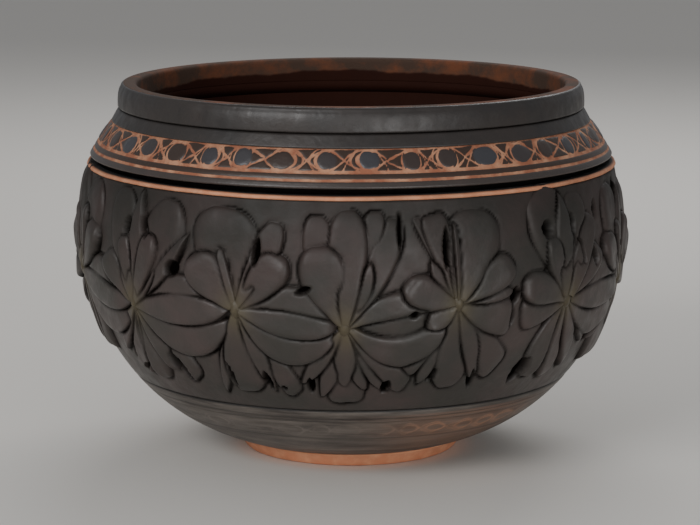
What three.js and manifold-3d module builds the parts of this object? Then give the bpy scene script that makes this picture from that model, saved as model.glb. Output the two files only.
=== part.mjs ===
// Black clay pot: rings of clay joined with slip, and flowers pressed on round the belly.
// Millimetres, +Z up. The origin is the centre of the face that the pot stands on, and angles run
// from the front (-Y) towards +X. A wall is a line of (radius, height) points, and each ring is the
// closed outline between two joints, revolved about the pot's axis.

import * as THREE from "three";
import { mergeVertices } from "three/addons/utils/BufferGeometryUtils.js";
import Module from "manifold-3d";

// ---- the height of each ring, from the standing face up ----
const FOOT_HEIGHT = 6.8;
const BOWL_HEIGHT = 33.7;
const BELLY_HEIGHT = 104;
const UNDERCUT_HEIGHT = 5.5;
const BAND_HEIGHT = 17;
const NECK_HEIGHT = 6.5;
const COLLAR_HEIGHT = 12;

// ---- outside radii ----
const FOOT_BOTTOM_RADIUS = 53;
const FOOT_TOP_RADIUS = 58.5;
const BELLY_RADIUS = 136;

// ---- how far each ring's top draws in from the ring below ----
const SHOULDER_TUCK = 4;
const BAND_LEAN = 12.2;
const NECK_LEAN = 3.4;

// ---- walls, seats and joints ----
const SLIP = 0.3;
const LAP = 2.4;
const FOOT_WALL = 10;
const BOWL_SEAT = 6.5;
const FLOOR_THICKNESS = 7;
const WALL = 7;
const SHELF_WIDTH = 12.6;
const SHELF_BLEND = 24;
const BEAD_WIDTH = 5;
const BEAD_HEIGHT = 2.8;
const BEAD_PROUD = 0.6;
const LIP_INSET = 1.2;
const LIP_EDGE = 1;
const BAND_WALL = 8.5;
const BAND_SWELL = 0.9;
const NECK_WALL = 9.3;
const COLLAR_PROUD = 0.4;
const RIM_TAPER = 1.6;
const RIM_ROUND = 2.2;

// ---- how the turned wall curves ----
const WIDEST_SHARE = 0.73;
const BOWL_RISE = THREE.MathUtils.degToRad(16);
const BOWL_PULL = 0.81;
const BELLY_PULL = 0.26;

// ---- applied flowers ----
const FLOWERS = 14;
const FIELD_FOOT_MARGIN = 5;
const FIELD_TOP_MARGIN = 3;
const RELIEF = 4.2;
const PETAL_BED = 0.75;
const BOSS_RADIUS = 5.2;
const PETAL_ROOT = 3;
const FLOWER_CLEARANCE = 0.3;

// A fan petal: how far its tip stands towards the next flower's half of the belly and towards the
// edge of the flowers' field, as shares of the room there is, and its width.
const FAN_PETALS = [
  { aside: -0.76, rise: 0.42, width: 10.5 },
  { aside: -0.58, rise: 0.9, width: 13 },
  { aside: 0.05, rise: 1, width: 13 },
  { aside: 0.58, rise: 0.88, width: 11.5 },
  { aside: 0.76, rise: 0.42, width: 10 },
  { aside: -0.62, rise: -0.92, width: 11 },
  { aside: 0, rise: -1, width: 12 },
  { aside: 0.62, rise: -0.92, width: 11 },
];
// A side petal reaches half way to the next boss and meets that flower's petal there: how high its
// end stands over the line between the bosses, and its width.
const SIDE_PETALS = [
  { arch: 10.5, width: 8.5 },
  { arch: -1, width: 10 },
  { arch: -13, width: 9 },
];
// The flowers are set by hand, so each strays a little along the belly and up it.
const STRAY = [
  { along: -3, up: -6 },
  { along: -8, up: 4 },
  { along: -4, up: -1 },
  { along: 2, up: 5 },
  { along: 0, up: -1 },
  { along: -2, up: 3 },
  { along: 2, up: -3 },
  { along: -1, up: 2 },
  { along: 3, up: -2 },
  { along: -1, up: 4 },
  { along: 2, up: -2 },
  { along: 3, up: 3 },
  { along: 4, up: -4 },
  { along: 6, up: 1 },
];

// ---- fineness of the facets ----
const ROUND_STEPS = 48;
const LOWER_WALL_STEPS = 10;
const UPPER_WALL_STEPS = 2;
const BAND_STEPS = 2;
const PETAL_STEP = 17;

// ---- finishes ----
const BURNISHED = { color: 0x3a3634, roughness: 0.38, metalness: 0.1 };
const SATIN = { color: 0x4d4642, roughness: 0.5, metalness: 0.05 };
const BARE = { color: 0x9a6242, roughness: 0.9, metalness: 0 };

// ---- heights and radii that follow ----
const BOWL_TOP = FOOT_HEIGHT + BOWL_HEIGHT;
const SHOULDER = BOWL_TOP + BELLY_HEIGHT;
const LIP = SHOULDER + UNDERCUT_HEIGHT;
const BAND_TOP = LIP + BAND_HEIGHT;
const NECK_TOP = BAND_TOP + NECK_HEIGHT;
const RIM = NECK_TOP + COLLAR_HEIGHT;
const BOWL_BOTTOM = FOOT_HEIGHT + SLIP;
const WIDEST = BOWL_BOTTOM + (SHOULDER - BOWL_BOTTOM) * WIDEST_SHARE;
const SHOULDER_RADIUS = BELLY_RADIUS - SHOULDER_TUCK;
const BAND_TOP_RADIUS = SHOULDER_RADIUS - BAND_LEAN;
const NECK_TOP_RADIUS = BAND_TOP_RADIUS - NECK_LEAN;
const SLAB_RADIUS = FOOT_TOP_RADIUS - BOWL_SEAT - SLIP;
const SHELF_RADIUS = SHOULDER_RADIUS - SHELF_WIDTH;
const UNDERCUT_RADIUS = SHOULDER_RADIUS - BEAD_WIDTH - SLIP;
const LIP_RADIUS = SHOULDER_RADIUS - LIP_INSET;
const COLLAR_RADIUS = NECK_TOP_RADIUS + COLLAR_PROUD;
const RIM_RADIUS = COLLAR_RADIUS - RIM_TAPER;
const MOUTH_RADIUS = NECK_TOP_RADIUS - NECK_WALL;

const point = (radius, height) => new THREE.Vector2(radius, height);

// ---- lines that the rings are cut from ----
const lowerWall = new THREE.CubicBezierCurve(
  point(FOOT_TOP_RADIUS, BOWL_BOTTOM),
  point(
    FOOT_TOP_RADIUS + (BELLY_RADIUS - FOOT_TOP_RADIUS) * BOWL_PULL * Math.cos(BOWL_RISE),
    BOWL_BOTTOM + (BELLY_RADIUS - FOOT_TOP_RADIUS) * BOWL_PULL * Math.sin(BOWL_RISE),
  ),
  point(BELLY_RADIUS, WIDEST - (WIDEST - BOWL_BOTTOM) * BELLY_PULL),
  point(BELLY_RADIUS, WIDEST),
);
const upperWall = new THREE.QuadraticBezierCurve(
  point(BELLY_RADIUS, WIDEST),
  point(BELLY_RADIUS, (WIDEST + SHOULDER) / 2),
  point(SHOULDER_RADIUS, SHOULDER),
);
const bandFace = new THREE.QuadraticBezierCurve(
  point(LIP_RADIUS, LIP + LIP_EDGE),
  point((LIP_RADIUS + BAND_TOP_RADIUS) / 2 + BAND_SWELL, (LIP + BAND_TOP) / 2 + BAND_SWELL),
  point(BAND_TOP_RADIUS, BAND_TOP),
);

function insideOf(curve, steps) {
  return curve.getPoints(steps).map((at, step) => {
    const along = curve.getTangent(step / steps);
    return point(at.x - along.y * WALL, at.y + along.x * WALL);
  });
}

const outside = [
  ...lowerWall.getPoints(LOWER_WALL_STEPS),
  ...upperWall.getPoints(UPPER_WALL_STEPS).slice(1),
];
const inside = [
  ...insideOf(lowerWall, LOWER_WALL_STEPS),
  ...insideOf(upperWall, UPPER_WALL_STEPS),
].filter((at) => at.y < SHOULDER - SHELF_BLEND);
inside.push(point(SHELF_RADIUS, SHOULDER));

const bandOutside = bandFace.getPoints(BAND_STEPS);
const neckOutside = [point(BAND_TOP_RADIUS, BAND_TOP), point(NECK_TOP_RADIUS, NECK_TOP)];
const throat = [
  point(SHELF_RADIUS, SHOULDER),
  point(BAND_TOP_RADIUS - BAND_WALL, BAND_TOP),
  point(MOUTH_RADIUS, NECK_TOP),
  point(MOUTH_RADIUS, RIM),
];

// The radius of a line at a height. Past either end, the line runs straight on.
function radiusAt(line, height) {
  const passed = line.filter((at) => at.y < height).length;
  const upper = THREE.MathUtils.clamp(passed, 1, line.length - 1);
  const low = line[upper - 1];
  const high = line[upper];
  return low.x + ((high.x - low.x) * (height - low.y)) / (high.y - low.y);
}

// The stretch of a line between two heights, going up.
function between(line, low, high) {
  const inner = line.filter((at) => at.y > low && at.y < high);
  return [point(radiusAt(line, low), low), ...inner, point(radiusAt(line, high), high)];
}

// ---- lapped joint: the lower ring's inner half stands up inside the upper ring ----
const lapRadius = (outer, inner, joint) => (radiusAt(outer, joint) + radiusAt(inner, joint)) / 2;

function lapHead(outer, inner, joint) {
  const step = lapRadius(outer, inner, joint);
  return [point(step, joint), point(step, joint + LAP)];
}

function lapSeat(outer, inner, joint) {
  const step = lapRadius(outer, inner, joint) + SLIP;
  return [point(step, joint + LAP + SLIP), point(step, joint + SLIP)];
}

// ---- the scene graph ----
const pot = new THREE.Group();

function addPiece(name, geometry, finish) {
  const mesh = new THREE.Mesh(geometry, new THREE.MeshStandardMaterial(finish));
  mesh.name = name;
  pot.add(mesh);
}

// Turns a counter-clockwise outline, which starts and ends on the axis or else closes on itself.
function turn(outline) {
  const closed = outline[0].x === 0 ? outline : [...outline, outline[0]];
  return new THREE.LatheGeometry(closed, ROUND_STEPS).rotateX(Math.PI / 2);
}

// ---- foot and floor ----
function footRing() {
  const innerRadius = FOOT_BOTTOM_RADIUS - FOOT_WALL;
  return turn([
    point(FOOT_BOTTOM_RADIUS, 0),
    point(FOOT_TOP_RADIUS, FOOT_HEIGHT),
    point(innerRadius, FOOT_HEIGHT),
    point(innerRadius, 0),
  ]);
}

function baseSlab() {
  return turn([
    point(0, BOWL_BOTTOM),
    point(SLAB_RADIUS, BOWL_BOTTOM),
    point(SLAB_RADIUS, BOWL_BOTTOM + FLOOR_THICKNESS),
    point(0, BOWL_BOTTOM + FLOOR_THICKNESS),
  ]);
}

// ---- bowl and belly ----
function lowerBowl() {
  const floor = BOWL_BOTTOM + FLOOR_THICKNESS;
  return turn([
    ...between(outside, BOWL_BOTTOM, BOWL_TOP),
    ...lapHead(outside, inside, BOWL_TOP),
    ...between(inside, floor, BOWL_TOP + LAP).reverse(),
    point(SLAB_RADIUS + SLIP, floor),
    point(SLAB_RADIUS + SLIP, BOWL_BOTTOM),
  ]);
}

function bellyWall() {
  return turn([
    ...between(outside, BOWL_TOP + SLIP, SHOULDER),
    ...between(inside, BOWL_TOP + LAP + SLIP, SHOULDER).reverse(),
    ...lapSeat(outside, inside, BOWL_TOP),
  ]);
}

// ---- shoulder: the bead lies on the belly's shelf, and the band stands inside it ----
function shoulderBead() {
  const bottom = SHOULDER + SLIP;
  const outer = SHOULDER_RADIUS + BEAD_PROUD;
  const bevel = BEAD_HEIGHT / 3;
  return turn([
    point(outer - bevel, bottom),
    point(outer, bottom + bevel),
    point(outer, bottom + BEAD_HEIGHT - bevel),
    point(outer - bevel, bottom + BEAD_HEIGHT),
    point(SHOULDER_RADIUS - BEAD_WIDTH, bottom + BEAD_HEIGHT),
    point(SHOULDER_RADIUS - BEAD_WIDTH, bottom),
  ]);
}

function shoulderBand() {
  return turn([
    point(UNDERCUT_RADIUS, SHOULDER + SLIP),
    point(UNDERCUT_RADIUS, LIP),
    point(LIP_RADIUS - LIP_EDGE, LIP),
    ...bandOutside,
    ...lapHead(bandOutside, throat, BAND_TOP),
    ...between(throat, SHOULDER + SLIP, BAND_TOP + LAP).reverse(),
  ]);
}

// ---- neck and collar ----
function neckRing() {
  return turn([
    ...between(neckOutside, BAND_TOP + SLIP, NECK_TOP),
    ...lapHead(neckOutside, throat, NECK_TOP),
    ...between(throat, BAND_TOP + LAP + SLIP, NECK_TOP + LAP).reverse(),
    ...lapSeat(bandOutside, throat, BAND_TOP),
  ]);
}

function collar() {
  return turn([
    point(COLLAR_RADIUS, NECK_TOP + SLIP),
    point(COLLAR_RADIUS, NECK_TOP + COLLAR_HEIGHT / 2),
    point(RIM_RADIUS, RIM - RIM_ROUND / 2),
    point(RIM_RADIUS - RIM_ROUND, RIM),
    point(MOUTH_RADIUS + RIM_ROUND / 2, RIM),
    point(MOUTH_RADIUS, RIM - RIM_ROUND / 2),
    point(MOUTH_RADIUS, NECK_TOP + LAP + SLIP),
    ...lapSeat(neckOutside, throat, NECK_TOP),
  ]);
}

addPiece("foot_ring", footRing(), BARE);
addPiece("base_slab", baseSlab(), SATIN);
addPiece("lower_bowl", lowerBowl(), SATIN);
addPiece("belly_wall", bellyWall(), BURNISHED);
addPiece("shoulder_bead", shoulderBead(), BARE);
addPiece("shoulder_band", shoulderBand(), BURNISHED);
addPiece("neck_ring", neckRing(), BURNISHED);
addPiece("collar", collar(), BURNISHED);

// ---- flowers: petals lie on the unrolled belly, then wrap round it ----
const wasm = await Module();
wasm.setup();

const FIELD_FOOT = BOWL_TOP + FIELD_FOOT_MARGIN;
const FIELD_TOP = SHOULDER - FIELD_TOP_MARGIN;
const PITCH = (2 * Math.PI * BELLY_RADIUS) / FLOWERS;
const NORMAL_STEP = 4;

// The place on the belly at a distance round it and a height, lifted off the wall by a distance.
function onBelly(along, height, lift) {
  const angle = along / BELLY_RADIUS;
  const slope = radiusAt(outside, height + NORMAL_STEP) - radiusAt(outside, height - NORMAL_STEP);
  const normal = point(2 * NORMAL_STEP, -slope).normalize();
  const radius = radiusAt(outside, height) + lift * normal.x;
  return [radius * Math.sin(angle), -radius * Math.cos(angle), height + lift * normal.y];
}

function toSolid(geometry) {
  geometry.deleteAttribute("normal");
  geometry.deleteAttribute("uv");
  const merged = mergeVertices(geometry);
  return new wasm.Manifold(
    new wasm.Mesh({
      numProp: 3,
      vertProperties: new Float32Array(merged.attributes.position.array),
      triVerts: new Uint32Array(merged.index.array),
    }),
  );
}

function toGeometry(solid) {
  const mesh = solid.getMesh();
  const geometry = new THREE.BufferGeometry();
  geometry.setAttribute("position", new THREE.BufferAttribute(mesh.vertProperties, 3));
  geometry.setIndex(new THREE.BufferAttribute(mesh.triVerts, 1));
  geometry.computeVertexNormals();
  return geometry;
}

// A petal is a low ridge on the unrolled belly, from its root beside the boss to its tip. outline
// gives its width at each share of its length, and across is the direction of that width.
function petal(root, tip, width, outline, across) {
  const section = new THREE.Shape([
    point(-1, PETAL_BED),
    point(1, PETAL_BED),
    point(0, RELIEF),
  ]);
  const steps = Math.max(2, Math.ceil(root.distanceTo(tip) / PETAL_STEP));
  const geometry = new THREE.ExtrudeGeometry(section, { depth: 1, steps, bevelEnabled: false });
  const places = geometry.attributes.position;
  for (let index = 0; index < places.count; index += 1) {
    const share = places.getZ(index);
    const side = places.getX(index) * outline(share) * width * 0.5;
    const at = root.clone().lerp(tip, share).addScaledVector(across, side);
    places.setXYZ(index, ...onBelly(at.x, at.y, places.getY(index)));
  }
  return toSolid(geometry);
}

const fanOutline = (share) => 0.12 + 0.88 * Math.sin(Math.PI * share ** 2);
const sideOutline = (share) => 0.15 + 0.85 * Math.sin((Math.PI * share) / 2);
const bossOutline = (share) => 0.5 + 0.5 * Math.sin(Math.PI * share);

function bossCentre(index) {
  const stray = STRAY[(index + FLOWERS) % FLOWERS];
  return point(index * PITCH + stray.along, (FIELD_FOOT + FIELD_TOP) / 2 + stray.up);
}

function boss(centre) {
  const half = point(0, BOSS_RADIUS);
  const root = centre.clone().sub(half);
  return petal(root, centre.clone().add(half), 2 * BOSS_RADIUS, bossOutline, point(-1, 0));
}

// The way from a boss to half way to its neighbour, less half the clearance.
function halfWay(centre, neighbour) {
  const way = neighbour.clone().sub(centre).multiplyScalar(0.5);
  way.x -= Math.sign(way.x) * FLOWER_CLEARANCE * 0.5;
  return way;
}

function fanPetal(centre, ways, { aside, rise, width }) {
  const upright = rise > 0 ? FIELD_TOP - centre.y : centre.y - FIELD_FOOT;
  const sideways = aside > 0 ? ways.right.x : -ways.left.x;
  const reach = point(aside * sideways, rise * upright);
  const root = reach.clone().setLength(PETAL_ROOT).add(centre);
  const across = point(-reach.y, reach.x).normalize();
  return petal(root, reach.add(centre), width, fanOutline, across);
}

function sidePetal(centre, way, { arch, width }) {
  const reach = way.clone().add(point(0, arch));
  const root = reach.clone().setLength(PETAL_ROOT).add(centre);
  return petal(root, reach.add(centre), width, sideOutline, point(0, Math.sign(way.x)));
}

function flower(index) {
  const centre = bossCentre(index);
  const ways = {
    left: halfWay(centre, bossCentre(index - 1)),
    right: halfWay(centre, bossCentre(index + 1)),
  };
  const petals = [
    ...FAN_PETALS.map((shape) => fanPetal(centre, ways, shape)),
    ...SIDE_PETALS.map((shape) => sidePetal(centre, ways.left, shape)),
    ...SIDE_PETALS.map((shape) => sidePetal(centre, ways.right, shape)),
  ];
  return petals.reduce((joined, next) => joined.add(next), boss(centre));
}

for (let index = 0; index < FLOWERS; index += 1) {
  addPiece(`flower_${String(index + 1).padStart(2, "0")}`, toGeometry(flower(index)), BURNISHED);
}

export default pot;
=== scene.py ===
import math
import random

import bmesh
import bpy
import numpy as np
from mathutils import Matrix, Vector


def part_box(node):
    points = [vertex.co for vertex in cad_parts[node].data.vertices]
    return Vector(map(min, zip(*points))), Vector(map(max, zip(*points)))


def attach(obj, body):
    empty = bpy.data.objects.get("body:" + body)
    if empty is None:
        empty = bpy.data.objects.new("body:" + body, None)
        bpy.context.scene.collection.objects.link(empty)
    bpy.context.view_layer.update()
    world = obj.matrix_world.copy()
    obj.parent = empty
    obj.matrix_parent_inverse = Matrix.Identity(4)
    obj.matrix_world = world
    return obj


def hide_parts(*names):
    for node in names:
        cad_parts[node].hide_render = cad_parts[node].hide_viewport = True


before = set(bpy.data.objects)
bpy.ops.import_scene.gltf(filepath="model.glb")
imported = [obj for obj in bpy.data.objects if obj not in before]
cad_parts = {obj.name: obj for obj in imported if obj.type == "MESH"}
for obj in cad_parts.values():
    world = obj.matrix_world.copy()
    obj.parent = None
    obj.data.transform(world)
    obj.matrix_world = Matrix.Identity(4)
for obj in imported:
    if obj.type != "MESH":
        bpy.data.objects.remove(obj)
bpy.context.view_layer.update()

# ---- floor, light and camera ----
# The pot stands on a plain pale table top under a broad lamp above its front left, a weaker
# one to its right and a strip behind, and is seen from a little above its rim.
EYE_DISTANCE = 1.42
EYE_RISE = math.radians(10.04)
EYE_LENS = 144.0
SIGHT_POINT = Vector((-0.0005, 0.0, 0.0927))
FLOOR_SIZE = 8.0
FLOOR_COLOUR = "d8d4ce"
ROOM_COLOUR = "dfe1e4"
ROOM_STRENGTH = 0.42
# name, place, width and depth in metres, watts
LAMPS = (
    ("key_lamp", (-0.85, -1.25, 0.82), 0.9, 0.7, 14.5),
    ("fill_lamp", (0.5, -1.35, 0.24), 0.8, 0.5, 6.5),
    ("back_lamp", (0.25, 1.1, 1.05), 1.1, 0.5, 9.0),
)


def paint(sheet):
    """The linear colour of an sRGB hex value."""
    shares = [int(sheet[place:place + 2], 16) / 255 for place in (0, 2, 4)]
    return [v / 12.92 if v <= 0.04045 else ((v + 0.055) / 1.055) ** 2.4 for v in shares] + [1.0]


def add(tree, kind, sockets=None, **settings):
    """Adds a node with its settings, and gives its sockets values or links."""
    node = tree.nodes.new(kind)
    for name, value in settings.items():
        setattr(node, name, value)
    for socket, value in (sockets or {}).items():
        if isinstance(value, bpy.types.NodeSocket):
            tree.links.new(value, node.inputs[socket])
        else:
            node.inputs[socket].default_value = value
    return node


def start_material(name):
    """A new material with only its output, and the tree that its nodes go in."""
    material = bpy.data.materials.new(name)
    material.use_nodes = True
    material.node_tree.nodes.clear()
    return material, material.node_tree


room = bpy.data.worlds.new("plain_room")
room.use_nodes = True
room.node_tree.nodes["Background"].inputs["Color"].default_value = paint(ROOM_COLOUR)
room.node_tree.nodes["Background"].inputs["Strength"].default_value = ROOM_STRENGTH
bpy.context.scene.world = room

for name, place, wide, deep, watts in LAMPS:
    lamp = bpy.data.lights.new(name, "AREA")
    lamp.shape = "RECTANGLE"
    lamp.size = wide
    lamp.size_y = deep
    lamp.energy = watts
    holder = bpy.data.objects.new(name, lamp)
    holder.location = place
    holder.rotation_euler = (SIGHT_POINT - Vector(place)).to_track_quat("-Z", "Y").to_euler()
    bpy.context.collection.objects.link(holder)

lens = bpy.data.cameras.new("eye")
lens.lens = EYE_LENS
eye = bpy.data.objects.new("eye", lens)
toward_eye = Vector((0.0, -math.cos(EYE_RISE), math.sin(EYE_RISE)))
eye.location = SIGHT_POINT + toward_eye * EYE_DISTANCE
eye.rotation_euler = (-toward_eye).to_track_quat("-Z", "Y").to_euler()
bpy.context.collection.objects.link(eye)
bpy.context.scene.camera = eye

floor_shape = bmesh.new()
bmesh.ops.create_grid(floor_shape, x_segments=1, y_segments=1, size=FLOOR_SIZE / 2)
floor_mesh = bpy.data.meshes.new("table_top")
floor_shape.to_mesh(floor_mesh)
floor_shape.free()
table_top = bpy.data.objects.new("table_top", floor_mesh)
bpy.context.collection.objects.link(table_top)

# Matt painted board: an even pale ground that takes a soft shadow.
painted_board, tree = start_material("matt_painted_board")
board = add(tree, "ShaderNodeBsdfPrincipled", {
    "Base Color": paint(FLOOR_COLOUR),
    "Roughness": 0.8,
})
add(tree, "ShaderNodeOutputMaterial", {"Surface": board.outputs[0]})
floor_mesh.materials.append(painted_board)

# ---- foot ring ----
# A turned ring of the bare red clay that the pot stands on. It was left unburnished, so it is
# matt and orange, with smoke marks from the firing.
MM = 0.001
ROUND_STEPS = 360
WEDGES = 12
FOOT_WALL = 10.0
FOOT_FLARE = 5.5
FOOT_ROUND = 0.9
FOOT_SWAY = 0.3
BARE_CLAY = "d38d68"
BARE_CLAY_PALE = "dfa27d"
BARE_CLAY_SMOKED = "bd7f5e"
SOOT_AND_SHADE = "120d0a"
GRIT = 0.7
HAND_SWEEP = 26.0


def corners(node):
    """A CAD node's lowest and highest corners, in millimetres."""
    return [[value / MM for value in corner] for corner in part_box(node)]


def curve(points, steps):
    """Bezier curve through any number of handles, as rows of (radius, height)."""
    share = np.linspace(0.0, 1.0, steps + 1)[:, None]
    rows = [np.array([point], float) + 0.0 * share for point in points]
    while len(rows) > 1:
        rows = [start + (end - start) * share for start, end in zip(rows, rows[1:])]
    return [tuple(row) for row in rows[0]]


def turned(name, outline, node, steps=ROUND_STEPS):
    """Turns a closed (radius, height) outline in millimetres, and stands it for its CAD node."""
    shape = bmesh.new()
    ring = [shape.verts.new((radius * MM, 0.0, height * MM)) for radius, height in outline]
    edges = [shape.edges.new(pair) for pair in zip(ring, ring[1:] + ring[:1])]
    centred = {"cent": (0, 0, 0), "axis": (0, 0, 1)}
    bmesh.ops.spin(
        shape, geom=ring + edges, angle=math.tau / WEDGES, steps=steps // WEDGES, **centred,
    )
    wedge = shape.verts[:] + shape.edges[:] + shape.faces[:]
    bmesh.ops.spin(
        shape, geom=wedge, angle=math.tau * (WEDGES - 1) / WEDGES, steps=WEDGES - 1,
        use_duplicate=True, **centred,
    )
    bmesh.ops.remove_doubles(shape, verts=shape.verts, dist=1e-5)
    bmesh.ops.recalc_face_normals(shape, faces=shape.faces)
    for face in shape.faces:
        face.smooth = True
    mesh = bpy.data.meshes.new(name)
    shape.to_mesh(mesh)
    shape.free()
    piece = bpy.data.objects.new(name, mesh)
    bpy.context.collection.objects.link(piece)
    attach(piece, "root")
    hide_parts(node)
    return piece


def read_places(mesh):
    """A mesh's points as radius, turn from the front and height, in millimetres and radians."""
    flat = np.empty(len(mesh.vertices) * 3)
    mesh.vertices.foreach_get("co", flat)
    x, y, z = flat.reshape(-1, 3).T / MM
    return np.hypot(x, y), np.arctan2(x, -y), z


def write_places(mesh, radius, turn, height):
    """Moves a mesh's points."""
    rows = np.stack([radius * np.sin(turn), -radius * np.cos(turn), height], axis=1) * MM
    mesh.vertices.foreach_set("co", rows.ravel())
    mesh.update()


def mark(mesh, name, values):
    """Stores one number for each point, which a material reads by name."""
    attribute = mesh.attributes.new(name, "FLOAT", "POINT")
    attribute.data.foreach_set("value", np.ascontiguousarray(values, np.float32))


def hand_sway(turn, phase):
    """The uneven way of a hand-turned edge, from -1 to 1 round the pot."""
    waves = ((3, 0.5, 0.0), (7, 0.27, 1.9), (17, 0.14, 0.7), (41, 0.09, 2.6))
    return sum(size * np.sin(count * turn + start + phase) for count, size, start in waves)


# Bare terracotta: chalky, with paler rubbed places, faint smoke marks and open grit. A per-point
# mark darkens it toward soot black: unevenly round the bead, and as painted shade under an
# overhang.
terracotta, tree = start_material("bare_smoked_terracotta")
here = add(tree, "ShaderNodeTexCoord").outputs["Object"]
blotches = add(tree, "ShaderNodeTexNoise", {
    "Vector": here, "Scale": 1 / (HAND_SWEEP * MM), "Detail": 5.0, "Roughness": 0.62,
})
rubbing = add(tree, "ShaderNodeTexNoise", {
    "Vector": here, "Scale": 1 / (6.0 * MM), "Detail": 3.0,
})
smoke_and_shade = add(tree, "ShaderNodeMapRange", {
    "Value": blotches.outputs["Fac"], "From Min": 0.52, "From Max": 0.72,
})
rubbed = add(tree, "ShaderNodeMapRange", {
    "Value": rubbing.outputs["Fac"], "From Min": 0.42, "From Max": 0.72,
})
body = add(tree, "ShaderNodeMix", {
    0: rubbed.outputs[0], 6: paint(BARE_CLAY), 7: paint(BARE_CLAY_PALE),
}, data_type="RGBA")
smoked = add(tree, "ShaderNodeMix", {
    0: smoke_and_shade.outputs[0], 6: body.outputs[2], 7: paint(BARE_CLAY_SMOKED),
}, data_type="RGBA")
shade_and_soot = add(tree, "ShaderNodeAttribute", attribute_name="shade_and_soot")
sooted_and_shaded = add(tree, "ShaderNodeMix", {
    0: shade_and_soot.outputs["Fac"], 6: smoked.outputs[2], 7: paint(SOOT_AND_SHADE),
}, data_type="RGBA")
grit = add(tree, "ShaderNodeTexNoise", {
    "Vector": here, "Scale": 1 / (GRIT * MM), "Detail": 2.0,
})
pores = add(tree, "ShaderNodeBump", {
    "Height": grit.outputs["Fac"], "Strength": 0.5, "Distance": 0.25 * MM,
})
clay = add(tree, "ShaderNodeBsdfPrincipled", {
    "Base Color": sooted_and_shaded.outputs[2], "Roughness": 0.86, "Normal": pores.outputs[0],
})
add(tree, "ShaderNodeOutputMaterial", {"Surface": clay.outputs[0]})

foot_top_radius, _, foot_top = corners("foot_ring")[1]
foot_bottom_radius = foot_top_radius - FOOT_FLARE
foot_inside = foot_bottom_radius - FOOT_WALL
foot_ring = turned("foot_ring_turned", [
    (foot_bottom_radius - FOOT_ROUND, 0.0),
    (foot_bottom_radius + 0.1, FOOT_ROUND * 0.35),
    (foot_bottom_radius + 0.9, FOOT_ROUND),
    (foot_bottom_radius + 2.6, foot_top * 0.5),
    (foot_top_radius - 1.0, foot_top - 0.9),
    (foot_top_radius - 0.2, foot_top),
    (foot_inside, foot_top),
    (foot_inside, FOOT_ROUND),
    (foot_inside + FOOT_ROUND, 0.0),
], "foot_ring")
foot_ring.data.materials.append(terracotta)
radius, turn, height = read_places(foot_ring.data)
write_places(foot_ring.data, radius + FOOT_SWAY * hand_sway(turn, 0.4), turn, height)

# ---- base slab ----
# A disc of the same clay, rolled flat, that closes the bottom. It was wiped with a wet hand and
# fired black, and shows shallow rings from the turning.
WIPED_CLAY = "6a625b"
WIPED_CLAY_DARK = "3c3632"
WIPED_WEAR = "7d5a45"
SCORED_PALE = "746b64"
SCORED_RED = "a8795c"
SLAB_RINGS = 9
SLAB_RING_DEPTH = 0.25
SLAB_STEPS = 120

# Black clay, wiped but hardly rubbed: dull, streaked round the pot, with red clay showing through
# where the skin has worn.
wiped_clay, tree = start_material("wiped_black_clay")
here = add(tree, "ShaderNodeTexCoord").outputs["Object"]
streak_space = add(tree, "ShaderNodeMapping", {"Vector": here, "Scale": (1.0, 1.0, 9.0)})
streaks = add(tree, "ShaderNodeTexNoise", {
    "Vector": streak_space.outputs[0], "Scale": 1 / (30.0 * MM), "Detail": 6.0, "Roughness": 0.6,
})
blotches = add(tree, "ShaderNodeTexNoise", {
    "Vector": here, "Scale": 1 / (34.0 * MM), "Detail": 4.0,
})
toned = add(tree, "ShaderNodeMapRange", {
    "Value": streaks.outputs["Fac"], "From Min": 0.35, "From Max": 0.65,
})
skin = add(tree, "ShaderNodeMix", {
    0: toned.outputs[0], 6: paint(WIPED_CLAY_DARK), 7: paint(WIPED_CLAY),
}, data_type="RGBA")
worn = add(tree, "ShaderNodeAttribute", attribute_name="worn")
worn_patch = add(tree, "ShaderNodeMath", {
    0: worn.outputs["Fac"], 1: blotches.outputs["Fac"],
}, operation="MULTIPLY")
worn_skin = add(tree, "ShaderNodeMix", {
    0: worn_patch.outputs[0], 6: skin.outputs[2], 7: paint(WIPED_WEAR),
}, data_type="RGBA")
scored_tone = add(tree, "ShaderNodeMix", {
    0: worn.outputs["Fac"], 6: paint(SCORED_PALE), 7: paint(SCORED_RED),
}, data_type="RGBA")
scored = add(tree, "ShaderNodeAttribute", attribute_name="scratch")
scored_skin = add(tree, "ShaderNodeMix", {
    0: scored.outputs["Fac"], 6: worn_skin.outputs[2], 7: scored_tone.outputs[2],
}, data_type="RGBA")
# Painted shade: scored lines and the wide groove are mixed toward near-black.
shade_and_soot = add(tree, "ShaderNodeAttribute", attribute_name="shade_and_soot")
lined = add(tree, "ShaderNodeMix", {
    0: shade_and_soot.outputs["Fac"], 6: scored_skin.outputs[2], 7: paint("0d0a08"),
}, data_type="RGBA")
grit = add(tree, "ShaderNodeTexNoise", {
    "Vector": here, "Scale": 1 / (GRIT * MM), "Detail": 2.0,
})
relief = add(tree, "ShaderNodeMath", {
    0: grit.outputs["Fac"], 1: 0.35, 2: streaks.outputs["Fac"],
}, operation="MULTIPLY_ADD")
pores = add(tree, "ShaderNodeBump", {
    "Height": relief.outputs[0], "Strength": 0.45, "Distance": 0.5 * MM,
})
sheen = add(tree, "ShaderNodeMapRange", {
    "Value": blotches.outputs["Fac"], "From Min": 0.3, "From Max": 0.7,
    "To Min": 0.42, "To Max": 0.6,
})
clay = add(tree, "ShaderNodeBsdfPrincipled", {
    "Base Color": lined.outputs[2], "Roughness": sheen.outputs[0], "Normal": pores.outputs[0],
})
add(tree, "ShaderNodeOutputMaterial", {"Surface": clay.outputs[0]})

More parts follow.
